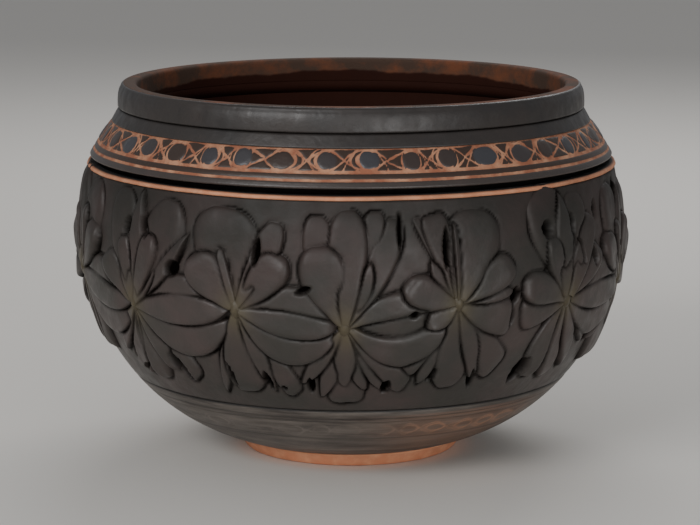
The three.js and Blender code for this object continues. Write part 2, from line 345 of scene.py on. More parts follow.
slab_low, slab_high = corners("base_slab")
slab_radius = slab_high[0]
slab_top = slab_high[2] - SLAB_RING_DEPTH
slab_rows = [
    (slab_radius * row / (SLAB_RINGS * 4), slab_top - SLAB_RING_DEPTH * math.sin(row * math.pi / 2))
    for row in range(1, SLAB_RINGS * 4 + 1)
]
base_slab = turned("base_slab_turned", [
    (0.0, slab_top), *slab_rows,
    (slab_radius, slab_low[2]), (0.0, slab_low[2]),
], "base_slab", SLAB_STEPS)
base_slab.data.materials.append(wiped_clay)

# ---- lower bowl ----
# The bottom of the pot, pulled out of the slab and turned. Its skin is only wiped, and a point
# has scored thin lines and a faint frieze round it.
BOWL_RISE = math.radians(16)
BOWL_PULL = 0.81
BELLY_PULL = 0.26
WIDEST_SHARE = 0.73
WALL = 7.0
BOWL_STEPS = 720
WIDE_GROOVE = 0.75
WIDE_GROOVE_DEPTH = 0.9
# The height of each scored line, its half width and its depth.
SCORED_LINES = ((36.2, 0.35, 0.3), (34.0, 0.3, 0.25), (23.2, 0.3, 0.25), (12.6, 0.25, 0.2))
FRIEZE_HEIGHT = 28.6
FRIEZE_LOOPS = 44
FRIEZE_TALL = 2.3
FRIEZE_DEPTH = 0.25
FAINT_LINE_GAP = 1.45
# Where the skin has worn: turn from the front and reach in radians, and how much.
WORN_PATCHES = ((math.radians(34), 0.36, 1.0), (-2.1, 0.5, 0.4))
WORN_LOW = 12.0
WORN_HIGH = 38.0

belly_low, belly_high = corners("belly_wall")
belly_radius = belly_high[0]
shoulder = belly_high[2]
bowl_top = belly_low[2]
bowl_bottom = slab_low[2]
widest = bowl_bottom + (shoulder - bowl_bottom) * WIDEST_SHARE
shoulder_radius = corners("shoulder_bead")[1][0] - 0.6
spread = (belly_radius - foot_top_radius) * BOWL_PULL
wall_line = np.array(curve([
    (foot_top_radius, bowl_bottom),
    (foot_top_radius + spread * math.cos(BOWL_RISE), bowl_bottom + spread * math.sin(BOWL_RISE)),
    (belly_radius, widest - (widest - bowl_bottom) * BELLY_PULL),
    (belly_radius, widest),
], 400) + curve([
    (belly_radius, widest),
    (belly_radius, (widest + shoulder) / 2),
    (shoulder_radius, shoulder),
], 200)[1:])


def wall_radius(height):
    """The turned wall's outside radius at a height."""
    return np.interp(height, wall_line[:, 1], wall_line[:, 0])


def inside_rows(low, high, count):
    """Rows down the wall's inside, a wall's thickness in from its outside."""
    slope = np.gradient(wall_line, axis=0)
    slope /= np.linalg.norm(slope, axis=1)[:, None]
    inner = wall_line + WALL * np.stack([-slope[:, 1], slope[:, 0]], axis=1)
    heights = np.linspace(high, low, count)
    return [(np.interp(height, inner[:, 1], inner[:, 0]), height) for height in heights]


def stroke(distance, half_width, soft=0.25):
    """1 on a drawn line and 0 off it, with a soft edge, from the distance to its middle."""
    return np.clip((half_width + soft - np.abs(distance)) / (2 * soft), 0.0, 1.0)


# Clay inside a black-fired pot: never rubbed, dark red-brown and matt, with the grey and orange
# of thinner smoke on the lip's inner edge.
SMOKED_CLAY = "27110b"
SMOKED_CLAY_DULL = "32180f"
LIP_CLAY = "4a3a31"
LIP_CLAY_RED = "6e4430"
smoked_inside, tree = start_material("smoked_clay_inside")
here = add(tree, "ShaderNodeTexCoord").outputs["Object"]
blotches = add(tree, "ShaderNodeTexNoise", {
    "Vector": here, "Scale": 1 / (22.0 * MM), "Detail": 6.0, "Roughness": 0.65,
})
skin = add(tree, "ShaderNodeMix", {
    0: blotches.outputs["Fac"], 6: paint(SMOKED_CLAY), 7: paint(SMOKED_CLAY_DULL),
}, data_type="RGBA")
redness = add(tree, "ShaderNodeMapRange", {
    "Value": blotches.outputs["Fac"], "From Min": 0.45, "From Max": 0.62,
})
lip_skin = add(tree, "ShaderNodeMix", {
    0: redness.outputs[0], 6: paint(LIP_CLAY), 7: paint(LIP_CLAY_RED),
}, data_type="RGBA")
pale = add(tree, "ShaderNodeAttribute", attribute_name="pale_lip")
inside_skin = add(tree, "ShaderNodeMix", {
    0: pale.outputs["Fac"], 6: skin.outputs[2], 7: lip_skin.outputs[2],
}, data_type="RGBA")
grit = add(tree, "ShaderNodeTexNoise", {
    "Vector": here, "Scale": 1 / (1.2 * MM), "Detail": 3.0,
})
pores = add(tree, "ShaderNodeBump", {
    "Height": grit.outputs["Fac"], "Strength": 0.5, "Distance": 0.3 * MM,
})
clay = add(tree, "ShaderNodeBsdfPrincipled", {
    "Base Color": inside_skin.outputs[2], "Roughness": 0.85, "Specular IOR Level": 0.15,
    "Normal": pores.outputs[0],
})
add(tree, "ShaderNodeOutputMaterial", {"Surface": clay.outputs[0]})


def line_inside(piece):
    """Gives the faces that look at the pot's axis the smoked finish."""
    mesh = piece.data
    mesh.materials.append(smoked_inside)
    for face in mesh.polygons:
        if face.normal.x * face.center.x + face.normal.y * face.center.y < 0:
            face.material_index = 1


base_slab.data.materials.append(smoked_inside)
for face in base_slab.data.polygons:
    if face.normal.z > 0.5:
        face.material_index = 1

bowl_rows = np.linspace(bowl_bottom, bowl_top, 76)
lower_bowl = turned("lower_bowl_turned", [
    *[(wall_radius(height), height) for height in bowl_rows],
    *inside_rows(slab_high[2], bowl_top, 8),
    (slab_radius, slab_high[2]),
    (slab_radius, bowl_bottom),
], "lower_bowl", BOWL_STEPS)
lower_bowl.data.materials.append(wiped_clay)
radius, turn, height = read_places(lower_bowl.data)
outer = radius > wall_radius(height) - 1.0
loop = turn * FRIEZE_LOOPS / math.tau + 0.18 * hand_sway(5 * turn, 2.0)
phase = (loop + 0.5) % 1.0 - 0.5
middle = height - FRIEZE_HEIGHT - 0.6 * hand_sway(2 * turn, 1.0)
drawn = stroke((np.hypot(phase / 0.36, middle / FRIEZE_TALL) - 1) * FRIEZE_TALL, 0.22, 0.3)
for side in (-1, 1):
    bend = side * 1.5 * FRIEZE_TALL * np.cos((phase + 0.07) * math.pi)
    drawn = np.maximum(drawn, 0.8 * stroke((middle - bend) * 0.7, 0.2, 0.3))
worn_side = sum(
    much * np.exp(-((turn - middle_turn) / reach) ** 2)
    for middle_turn, reach, much in WORN_PATCHES
)
faintness = 0.45 + 0.7 * np.sin(17 * turn + 0.2 * height) * np.sin(29 * turn + 2.0)
faintness = np.clip(faintness, 0.05, 1.0)
scratched = drawn * np.clip(faintness + 0.6 * worn_side, 0, 1)
for ridge in np.arange(9.5, FRIEZE_HEIGHT + 8, FAINT_LINE_GAP):
    wander = ridge + 0.3 * hand_sway(turn, 5 * ridge)
    pressed = np.clip(0.3 + 0.5 * np.sin((3 + ridge % 4) * turn + 7 * ridge), 0, 1)
    scratched = np.maximum(scratched, 0.5 * pressed * stroke(height - wander, 0.12, 0.3))
cut = FRIEZE_DEPTH * scratched
shade = np.zeros(len(radius))
for line_height, half, depth in SCORED_LINES:
    drawn = stroke(height - line_height - 0.3 * hand_sway(turn, line_height), half)
    cut = cut + depth * drawn
    shade = shade + 0.6 * drawn
groove = stroke(height - bowl_top, WIDE_GROOVE, 0.35)
cut = cut + WIDE_GROOVE_DEPTH * groove
write_places(lower_bowl.data, radius - cut * outer, turn, height)
# Painted shade in the scored lines and the wide groove at the top.
mark(lower_bowl.data, "shade_and_soot", np.clip(shade + groove, 0, 1) * outer)
worn_rows = (height > WORN_LOW) & (height < WORN_HIGH)
mark(lower_bowl.data, "worn", np.clip(1.3 * worn_side * worn_rows, 0, 1))
mark(lower_bowl.data, "scratch", scratched * outer)
line_inside(lower_bowl)

# ---- belly wall ----
# The widest part, coiled and beaten out, then burnished. The flowers were drawn on it first, so
# a cut line runs round each petal, and the tool has dug holes where petals part.
FLOWERS = 14
BOSS_MIDDLE = 93.5
BELLY_STEPS = 924
BELLY_ROWS = 100
PETAL_BED = 1.0
PETAL_ROOT = 2.0
PETAL_SPREAD = 1.13
PETAL_FLANK = 6.0
PETAL_TILT = 0.3
LINE_DEPTH = 1.0
WALL_LINE_DEPTH = 0.6
LINE_REACH = 0.65
LINE_FADE = 7.0
GAP_DEPTH = 1.8
HOLE_SPREAD = 1.2
BELLY_SWAY = 0.25
# Painted shade toward the shoulder: how strong it gets, where it starts and how far it rises.
SHOULDER_SHADE = 0.42
SHOULDER_SHADE_LOW = 92.0
SHOULDER_SHADE_RISE = 50.0
# The unrolled belly's cells, how many of them a line and a gap spread over, and how finely a
# petal is laid on them.
CELL = 0.4
LINE_CELLS = 5
GAP_CELLS = 7
MAP_LONG = 260
MAP_CROSS = 210
FIELD_LOW = 42.0
FIELD_HIGH = 148.0
SHELF_WIDTH = 12.6
SHELF_BLEND = 24.0
BURNISHED = "312e2a"
BURNISHED_BROWN = "403532"
# Near-black of the painted shade in cut lines, gaps, holes and undercuts.
SHADE_BLACK = "080605"
HEART = "4c4432"

# A form of petal: where it is widest along its length, how round and how full its end is, its
# width at the root as a share, how deeply it is dished, and its lift at the root as a share.
FORMS = {
    "flush": (0.66, 2.0, 0.5, 0.24, 0.5, 1.25),
    "broad": (0.7, 2.2, 0.5, 0.12, 0.7, 0.3),
    "round": (0.66, 2.0, 0.5, 0.26, 0.5, 0.5),
    "leaf": (0.5, 1.7, 0.95, 0.24, 0.1, 0.55),
    "lens": (0.5, 2.4, 0.7, 0.2, 0.2, 0.6),
    "blunt": (0.78, 4.0, 0.5, 0.34, 0.3, 0.6),
    "ridge": (0.5, 4.0, 0.5, 0.7, 0.0, 0.7),
}
# Each flower: the boss's turn in degrees and height, its petals, and its side petals to the next
# boss. A petal is its tip aside and up from the boss, its width, how far it bows to its left, its
# lift and its form. A side petal is its end's rise over the next boss, its bow, width and lift.
FRONT_FLOWERS = [
    (-49.8, 88.5, [
        (-10, 56, 21, 1, 1.7, "flush"), (26.8, 53.5, 24.5, -3, 1.8, "flush"),
        (5.5, 56.5, 12, 0, 2.4, "leaf"), (-6, 34, 9, 0, 3.0, "round"),
        (15, 36.5, 14, -1, 3.8, "round"), (38, 38.5, 9.5, -2, 3.0, "leaf"),
        (31, -36, 13, 2, 2.0, "blunt"),
        (-21, 24, 15, 1, 3.6, "round"),
        (-25, -28, 10, -1, 2.6, "leaf"), (-10, -38, 14, -1, 3.0, "round"),
        (5, -39, 15, 0, 3.2, "round"), (18, -33, 13, 2, 3.0, "leaf"),
    ], [(3, 8, 12.5, 2.6), (0, 0, 17, 4.0), (-6, -13, 16, 3.0)]),
    (-23.3, 92.5, [
        (-6, 48.5, 32, 2, 2.0, "broad"), (-8, 30, 4.5, 0, 2.5, "ridge"),
        (21, 43, 14, -1, 1.6, "flush"), (-22, 25.5, 20, 1, 4.2, "round"),
        (23.5, 27.5, 18, -1, 3.2, "round"),
        (-16, -45, 9, 0, 2.6, "leaf"), (0, -43, 22, 0, 3.4, "round"),
        (15, -42, 10, 1, 2.6, "leaf"), (27, -43, 11, 0, 1.8, "blunt"),
    ], [(4, 7, 14, 2.8), (0, -1, 15.5, 4.0), (-4, -13, 14.5, 3.0)]),
    (-1.2, 85.9, [
        (-14, 54, 16, 2, 1.4, "flush"), (15, 56, 14, -1, 1.4, "flush"),
        (24, 52, 14, -2, 1.9, "flush"), (1.5, 56, 19, 0, 2.4, "flush"),
        (-12, 39.5, 22, 2, 3.8, "round"), (12, 32, 10, -1, 3.0, "leaf"),
        (-24, -30, 9, 1, 2.4, "leaf"), (-14, -37, 11, 1, 2.8, "leaf"),
        (-1.5, -31, 13, 0, 3.4, "leaf"), (11, -33, 11, -1, 2.8, "leaf"),
        (23, -34, 9, -2, 2.4, "leaf"), (0, -41, 19, 0, 1.9, "blunt"),
        (33, -31, 12, -2, 2.2, "blunt"),
    ], [(1, 5, 12, 2.8), (-6, -15, 15, 2.8)]),
    (21.5, 95.8, [
        (9.5, 44.5, 28, -1, 1.9, "flush"), (-2.5, 39, 3.4, 0, 3.4, "ridge"),
        (-13.5, 43, 14, 0, 1.7, "blunt"), (-21.5, 42, 5, 0, 1.3, "blunt"),
        (-26, 12, 16, 2, 4.2, "round"), (29, 18.5, 16.5, 0, 3.6, "round"),
        (30, 4, 10, 1, 2.8, "leaf"), (30.5, -9, 17.5, -2, 3.4, "blunt"),
        (-16, -11, 11, 0, 3.8, "leaf"), (-14, 22, 9, 1, 1.8, "leaf"),
        (-17, -41, 12, -1, 2.6, "leaf"), (0, -44, 20, 0, 3.2, "round"),
        (15, -42, 11, 1, 2.8, "leaf"), (29, -36, 17, -2, 2.3, "blunt"),
        (-27, -33, 13, 1, 2.4, "blunt"),
    ], []),
    (49.3, 90.9, [
        (-23, 53, 29, -5, 1.9, "flush"), (8, 52, 20, 0, 1.6, "flush"),
        (-5.5, 53, 14.5, 0, 2.6, "leaf"), (-13.5, 33, 13, 1, 3.4, "round"),
        (19, 40, 14, -1, 2.6, "flush"), (26, 24, 15, -1, 3.6, "round"),
        (8, 30, 9, -1, 2.8, "leaf"),
        (-32, 9, 16, -2, 3.8, "round"), (-31, -5, 15, 0, 2.6, "blunt"),
        (-15, -39, 15, -2, 3.0, "round"), (1, -41, 15, 0, 3.2, "round"),
        (16, -38, 14, 2, 3.0, "leaf"), (29, -27, 9, 2, 2.4, "leaf"),
    ], [(4, 8, 13, 2.8), (0, -1, 16.5, 4.0), (-6, -12, 15, 3.0)]),
]
# The pattern that the potter repeats, with small differences, all round the back.
PLAIN_PETALS = [
    (-19, 50, 22, 2, 1.8, "flush"), (19, 49, 23, -2, 1.8, "flush"),
    (-1, 51, 15, 0, 2.4, "leaf"), (-26, 24, 16, 1, 3.8, "round"),
    (-9, 34, 12, 0, 3.4, "round"), (11, 35, 12, 0, 3.4, "round"),
    (26, 25, 16, -1, 3.8, "round"),
    (-26, -30, 9, -1, 2.4, "leaf"), (-15, -40, 14, -1, 2.8, "leaf"), (0, -43, 18, 0, 3.2, "round"),
    (15, -40, 14, 1, 2.8, "leaf"),
]
PLAIN_SIDES = [(4, 7, 13, 2.8), (0, 0, 16.5, 4.0), (-5, -13, 15, 3.0)]
# Holes that the tool has dug: turn in degrees, height, half width, half tallness, lean and depth.
HOLES = [
    (-40.6, 59, 2.8, 7.5, -32, 3.0), (-18.2, 57.5, 1.6, 5, -12, 2.6), (-15, 54, 1.4, 1.2, 0, 1.6),
    (-8.8, 56, 1.8, 4, 0, 2.6), (7.5, 55.5, 2.2, 3.4, 20, 2.6), (18.9, 122, 1.3, 9, 0, 2.6),
    (-18.8, 120.5, 1.6, 6, 8, 2.4), (34.6, 97, 2.0, 3.6, 15, 2.4), (34.2, 86, 1.5, 3.6, 8, 2.4),
    (40.6, 57.5, 3.2, 6.5, 30, 3.0), (42.6, 126.5, 3.0, 3.6, 0, 2.4),
    (17.5, 61, 1.0, 3.6, 25, 1.8), (27.4, 57, 1.4, 5, -10, 2.2),
    (-51.4, 125.5, 1.8, 4.6, 20, 2.4), (-45.6, 126, 1.7, 4.6, -20, 2.4),
    (-9.3, 103.5, 3.4, 1.3, -25, 2.2), (50.6, 127, 1.8, 4.5, 0, 2.2),
    (53.2, 113, 1.0, 6, -18, 2.2), (57.8, 110, 1.7, 4.5, -10, 2.2),
    (-37.8, 109, 3.0, 4.0, 30, 1.0), (-26.4, 60, 0.9, 6, -12, 1.8), (-57, 62, 1.4, 4.5, 50, 2.0),
    (-53, 56, 1.0, 4.5, 60, 1.6), (12.6, 91.5, 2.2, 1.6, 0, 2.2), (9.5, 131, 1.0, 8, 0, 1.8),
    (56.5, 71, 1.2, 7, -35, 2.0), (60.5, 131, 1.6, 4, 0, 2.2),
]

chance = random.Random(11)
flowers = []
for number in range(FLOWERS):
    middle = (number * 360 / FLOWERS + 180) % 360 - 180
    near = [flower for flower in FRONT_FLOWERS if abs(flower[0] - middle) < 180 / FLOWERS]
    if near:
        flowers.append(near[0])
        continue
    petals = [
        (tip + chance.uniform(-2, 2), up + chance.uniform(-2, 2), width * chance.uniform(0.9, 1.1),
         bow + chance.uniform(-1, 1), lift * chance.uniform(0.92, 1.06), form)
        for tip, up, width, bow, lift, form in PLAIN_PETALS
    ]
    sides = [
        (rise + chance.uniform(-1, 1), bow + chance.uniform(-1, 1),
         width * chance.uniform(0.92, 1.08), lift)
        for rise, bow, width, lift in PLAIN_SIDES
    ]
    turn_off, height_off = chance.uniform(-2, 2), chance.uniform(-4, 4)
    flowers.append((middle + turn_off, BOSS_MIDDLE + height_off, petals, sides))


def petal_surface(root, petal, long_steps, cross_steps):
    """A petal's way along the belly, height and lift off the wall, for every point of a grid that
    runs from its root to its tip and from one side to the other."""
    tip_aside, tip_up, width, bow, lift, form = petal
    widest_at, roundness, fullness, root_width, dish, root_lift = FORMS[form]
    share = 1 - (1 - np.linspace(0.0, 1.0, long_steps + 1)) ** 1.4
    across = np.sin(np.linspace(-1.0, 1.0, cross_steps + 1) * math.pi / 2)
    share, across = np.meshgrid(share, across, indexing="ij")
    way = np.array([tip_aside, tip_up], float)
    start = np.array(root) + way / np.linalg.norm(way) * PETAL_ROOT
    way = way - way / np.linalg.norm(way) * PETAL_ROOT
    left = np.array([-way[1], way[0]]) / np.linalg.norm(way)
    middle = start + share[..., None] * way + (4 * share * (1 - share) * bow)[..., None] * left
    heading = way + (4 * (1 - 2 * share) * bow)[..., None] * left
    heading /= np.linalg.norm(heading, axis=-1)[..., None]
    sideways = np.stack([-heading[..., 1], heading[..., 0]], axis=-1)
    swell = root_width + (1 - root_width) * np.sin(np.clip(share / widest_at, 0, 1) * math.pi / 2)
    past = np.clip((share - widest_at) / (1 - widest_at), 0, 1)
    half = 0.5 * PETAL_SPREAD * width * swell * np.maximum(1 - past ** roundness, 0) ** fullness
    place = middle + (across * half)[..., None] * sideways
    climb = root_lift + (1 - root_lift) * np.clip(share / 0.8, 0, 1)
    climb = climb * (1 - PETAL_TILT * across * np.sign(tip_aside + 0.1))
    crown = (1 - np.abs(across) ** PETAL_FLANK) * (1 - share ** 16)
    hollow = dish * np.clip(1 - (across / 0.75) ** 2, 0, 1) * np.sin(share * math.pi) ** 1.5
    above = -PETAL_BED + (lift * climb + PETAL_BED) * crown - hollow
    return place[..., 0], place[..., 1], above


def side_petals(number):
    """A flower's petals that reach over to the next boss, as tips from its own boss."""
    turn_here, height_here, _, sides = flowers[number]
    turn_next, height_next = flowers[(number + 1) % FLOWERS][:2]
    gap = math.radians((turn_next - turn_here) % 360) * belly_radius
    return [
        (gap - 3.5, height_next - height_here + rise, width, bow, lift, "lens")
        for rise, bow, width, lift in sides
    ]


# The belly unrolled as a field of small cells: which petal lies on top in each, and from that the
# lines where one petal meets another or the wall, and the narrow gaps that petals leave.
applied = []
for number, (boss_turn, boss_height, petals, sides) in enumerate(flowers):
    root = (math.radians(boss_turn) * belly_radius, boss_height)
    applied += [(number, root, petal) for petal in petals + side_petals(number)]
full_turn = math.tau * belly_radius
cells_round = int(full_turn / CELL)
cells_up = int((FIELD_HIGH - FIELD_LOW) / CELL)
top = np.zeros((cells_round, cells_up))
owner_on_top = np.full((cells_round, cells_up), -1)
surfaces = [petal_surface(root, petal, MAP_LONG, MAP_CROSS) for number, root, petal in applied]
for owner, (along, up, above) in enumerate(surfaces):
    rising = np.argsort(above, axis=None)
    height_here = above.ravel()[rising] + 0.03 * (owner % 7)
    column = np.round(along.ravel()[rising] * cells_round / full_turn).astype(int) % cells_round
    row = np.clip(np.round((up.ravel()[rising] - FIELD_LOW) / CELL).astype(int), 0, cells_up - 1)
    wins = height_here > top[column, row]
    top[column[wins], row[wins]] = height_here[wins]
    owner_on_top[column[wins], row[wins]] = owner
seams = np.zeros_like(top)
seams[owner_on_top != np.roll(owner_on_top, 1, axis=0)] = 1.0
seams[owner_on_top != np.roll(owner_on_top, 1, axis=1)] = 1.0
seams[:, :2] = 0.0
seams[:, -2:] = 0.0
cell_along, cell_up = np.meshgrid(
    np.arange(cells_round) * full_turn / cells_round, FIELD_LOW + np.arange(cells_up) * CELL,
    indexing="ij",
)
press = 0.64 + 0.36 * np.sin(cell_along * 0.19) * np.sin(cell_up * 0.23 + 1.0)
line_map = np.zeros_like(top)
for shift_along in range(-LINE_CELLS, LINE_CELLS + 1):
    for shift_up in range(-LINE_CELLS, LINE_CELLS + 1):
        distance = math.hypot(shift_along, shift_up) * CELL
        shifted = np.roll(seams * press, (shift_along, shift_up), axis=(0, 1))
        line_map = np.maximum(line_map, shifted * math.exp(-(distance / LINE_REACH) ** 2))
near_petals = 1.0 * (owner_on_top >= 0)
reach = range(-GAP_CELLS, GAP_CELLS + 1)
for axis in (0, 1):
    near_petals = sum(np.roll(near_petals, shift, axis) for shift in reach) / len(reach)
gap_map = np.clip((near_petals - 0.56) * 5, 0, 1) * (owner_on_top < 0)
boss_map = np.zeros_like(top)
for boss_turn, boss_height, _, _ in flowers:
    aside = (cell_along - math.radians(boss_turn) * belly_radius + 0.5 * full_turn) % full_turn
    away = np.hypot(aside - 0.5 * full_turn, (cell_up - boss_height) * 0.75)
    boss_map = np.maximum(boss_map, np.exp(-(away / LINE_FADE) ** 2))
line_map *= 1 - 0.8 * boss_map
# Painted shade along the lines where petals meet each other or the wall.
line_shade_map = np.clip(1.35 * line_map, 0, 1)


def read_map(values, along, up):
    """Looks up a map of the unrolled belly, blending its four nearest cells."""
    column = (along * cells_round / full_turn) % cells_round
    row = np.clip((up - FIELD_LOW) / CELL, 0, cells_up - 1.001)
    left, low = np.floor(column).astype(int), np.floor(row).astype(int)
    over, rise = column - left, row - low
    right = (left + 1) % cells_round
    left = left % cells_round
    return (
        values[left, low] * (1 - over) * (1 - rise) + values[right, low] * over * (1 - rise)
        + values[left, low + 1] * (1 - over) * rise + values[right, low + 1] * over * rise
    )


def smoke_and_shade(up):
    """How much painted shade darkens the wall and petals toward the shoulder."""
    return SHOULDER_SHADE * np.clip((up - SHOULDER_SHADE_LOW) / SHOULDER_SHADE_RISE, 0, 1)


def dug_holes(along, up):
    """How far into a dug hole each place is, from 0 to 1, and that hole's depth."""
    share = np.zeros(np.shape(along))
    deep = np.zeros(np.shape(along))
    for hole_turn, hole_height, wide, tall, lean, depth in HOLES:
        tilt = math.radians(lean)
        aside = (along - math.radians(hole_turn) * belly_radius + 0.5 * full_turn) % full_turn
        aside, rise = aside - 0.5 * full_turn, up - hole_height
        across = (aside * math.cos(tilt) - rise * math.sin(tilt)) / (HOLE_SPREAD * wide + 0.4)
        lengthwise = (aside * math.sin(tilt) + rise * math.cos(tilt)) / (HOLE_SPREAD * tall + 0.4)
        dug = np.clip(2.4 - 2.4 * (np.abs(across) ** 1.3 + lengthwise ** 2), 0, 1)
        deep = np.where(dug > share, depth, deep)
        share = np.maximum(share, dug)
    return share, deep


def burnish(name, dark, brown, rubbed):
    """Black clay rubbed with a stone, from its two tones and how rough its best-rubbed places
    are. It is dull in the grooves and mixed toward black there as painted shade, and browner
    where the petals meet."""
    material, tree = start_material(name)
    here = add(tree, "ShaderNodeTexCoord").outputs["Object"]
    blotches = add(tree, "ShaderNodeTexNoise", {
        "Vector": here, "Scale": 1 / (34.0 * MM), "Detail": 5.0, "Roughness": 0.6,
    })
    thumbing = add(tree, "ShaderNodeTexNoise", {
        "Vector": here, "Scale": 1 / (7.0 * MM), "Detail": 2.0,
    })
    grit = add(tree, "ShaderNodeTexNoise", {
        "Vector": here, "Scale": 1 / (0.9 * MM), "Detail": 3.0,
    })
    toned = add(tree, "ShaderNodeMapRange", {
        "Value": blotches.outputs["Fac"], "From Min": 0.38, "From Max": 0.64,
    })
    skin = add(tree, "ShaderNodeMix", {
        0: toned.outputs[0], 6: paint(dark), 7: paint(brown),
    }, data_type="RGBA")
    heart = add(tree, "ShaderNodeAttribute", attribute_name="heart")
    warmed = add(tree, "ShaderNodeMix", {
        0: heart.outputs["Fac"], 6: skin.outputs[2], 7: paint(HEART),
    }, data_type="RGBA")
    # Painted shade: a per-point mark mixes the colour toward near-black in lines, gaps, holes and
    # grooves.
    shade_and_soot = add(tree, "ShaderNodeAttribute", attribute_name="shade_and_soot")
    lined = add(tree, "ShaderNodeMix", {
        0: shade_and_soot.outputs["Fac"], 6: warmed.outputs[2], 7: paint(SHADE_BLACK),
    }, data_type="RGBA")
    shine = add(tree, "ShaderNodeMapRange", {
        "Value": thumbing.outputs["Fac"], "From Min": 0.3, "From Max": 0.7,
        "To Min": rubbed, "To Max": rubbed + 0.16,
    })
    dulled = add(tree, "ShaderNodeMath", {
        0: shade_and_soot.outputs["Fac"], 1: 0.35, 2: shine.outputs[0],
    }, operation="MULTIPLY_ADD")
    relief = add(tree, "ShaderNodeMath", {
        0: grit.outputs["Fac"], 1: 0.12, 2: thumbing.outputs["Fac"],
    }, operation="MULTIPLY_ADD")
    strokes = add(tree, "ShaderNodeBump", {
        "Height": relief.outputs[0], "Strength": 0.5, "Distance": 0.8 * MM,
    })
    gloss = add(tree, "ShaderNodeMath", {
        0: shade_and_soot.outputs["Fac"], 1: -0.5, 2: 0.5,
    }, operation="MULTIPLY_ADD")
    clay = add(tree, "ShaderNodeBsdfPrincipled", {
        "Base Color": lined.outputs[2], "Roughness": dulled.outputs[0],
        "Specular IOR Level": gloss.outputs[0], "Normal": strokes.outputs[0],
    })
    add(tree, "ShaderNodeOutputMaterial", {"Surface": clay.outputs[0]})
    return material


# Burnished black clay: rubbed with a stone before the firing, so it is almost black with a soft
# uneven shine.
burnished_clay = burnish("burnished_black_clay", BURNISHED, BURNISHED_BROWN, 0.36)

shelf_radius = shoulder_radius - SHELF_WIDTH
belly_rows = np.linspace(bowl_top, shoulder, BELLY_ROWS)
belly_wall = turned("belly_wall_turned", [
    *[(wall_radius(height), height) for height in belly_rows],
    (shelf_radius, shoulder),
    *inside_rows(bowl_top, shoulder - SHELF_BLEND, 6),
], "belly_wall", BELLY_STEPS)
belly_wall.data.materials.append(burnished_clay)
radius, turn, height = read_places(belly_wall.data)
outer = radius > wall_radius(height) - 1.0
lines = read_map(line_map, turn * belly_radius, height)
dug, deep = dug_holes(turn * belly_radius, height)
gaps = read_map(gap_map, turn * belly_radius, height)
cut = np.maximum(np.maximum(WALL_LINE_DEPTH * lines, GAP_DEPTH * gaps), dug * deep)
# Painted shade: lines, narrow gaps, dug holes, the groove and the shoulder are darkened toward
# near-black.
lined = read_map(line_shade_map, turn * belly_radius, height)
shade = np.maximum(np.maximum(lined, 0.9 * gaps), np.maximum(dug, smoke_and_shade(height)))
groove = stroke(height - bowl_top, WIDE_GROOVE, 0.35)
cut = np.maximum(cut, WIDE_GROOVE_DEPTH * groove)
shade = np.maximum(shade, groove)
swayed = radius + (BELLY_SWAY * hand_sway(turn, 1.0) - cut) * outer
write_places(belly_wall.data, swayed, turn, height)
mark(belly_wall.data, "shade_and_soot", shade * outer)
line_inside(belly_wall)

# ---- shoulder bead ----
# A thin roll of red clay laid round the shoulder. It was scraped bare, so it stays terracotta,
# darkened unevenly all round, and its top, under the overhanging band, gets painted shade.
SLIP = 0.3
BEAD_DEEP = 5.6
BEAD_STEPS = 540
bead_outer = corners("shoulder_bead")[1][0]
bead_inner = bead_outer - BEAD_DEEP
bead_bottom = corners("shoulder_bead")[0][2] - SLIP
bead = turned("shoulder_bead_rolled", [
    (bead_outer - 1.3, bead_bottom), (bead_outer - 0.3, bead_bottom + 0.3),
    (bead_outer, bead_bottom + 0.9), (bead_outer - 0.3, bead_bottom + 1.7),
    (bead_outer - 0.9, bead_bottom + 2.1), (bead_outer - 2.0, bead_bottom + 2.3),
    (bead_inner, bead_bottom + 2.3), (bead_inner, bead_bottom),
], "shoulder_bead", BEAD_STEPS)
bead.data.materials.append(terracotta)
radius, turn, height = read_places(bead.data)
rim_side = np.clip((radius - bead_inner) / 5.0, 0, 1)
write_places(bead.data, radius + 0.35 * rim_side * hand_sway(turn, 2.2), turn,
             height + 0.3 * rim_side * hand_sway(turn, 4.1))
# Painted shade on the bead's top under the overhanging band, over an uneven darkening all round.
shaded_top = np.clip((bead_outer - 0.5 - radius) / 0.8, 0, 1) * (height > bead_bottom + 1.8)
mark(bead.data, "shade_and_soot", np.maximum(0.25 + 0.12 * hand_sway(turn, 5.0), shaded_top))

# ---- shoulder band ----
# A burnished band that leans in to the neck. Its black skin was scratched away in a lattice of
# hand-drawn loops between two lines, down to the red clay, which leaves dark pebbles between.
BAND_STEPS = 1440
BAND_ROWS = 34
BAND_SWELL = 0.9
BAND_TOP_RADIUS = 119.8
BAND_WALL = 8.5
LIP_RISE = 5.0
UNDERCUT = 5.3
LOOPS = 40
FIRST_LOOP = math.radians(-5.5)
SCRATCH_DEPTH = 0.35
PEBBLE_SWELL = 0.5
PEBBLE_WIDE = 5.2
PEBBLE_TALL = 4.1
RING_TALL = 4.2
GROUND_DEPTH = 0.15
LATTICE_RADIUS = 124.0
LATTICE_LOW = 156.9
LATTICE_HIGH = 166.9
THIN_LINE = 153.4
GROUND_LOW = 152.9
GROUND_HIGH = 167.2
SCRATCHED = "8a553d"
SCRATCHED_PALE = "b58769"
SCRAPED_GROUND = "33241b"
PEBBLE = "36363a"

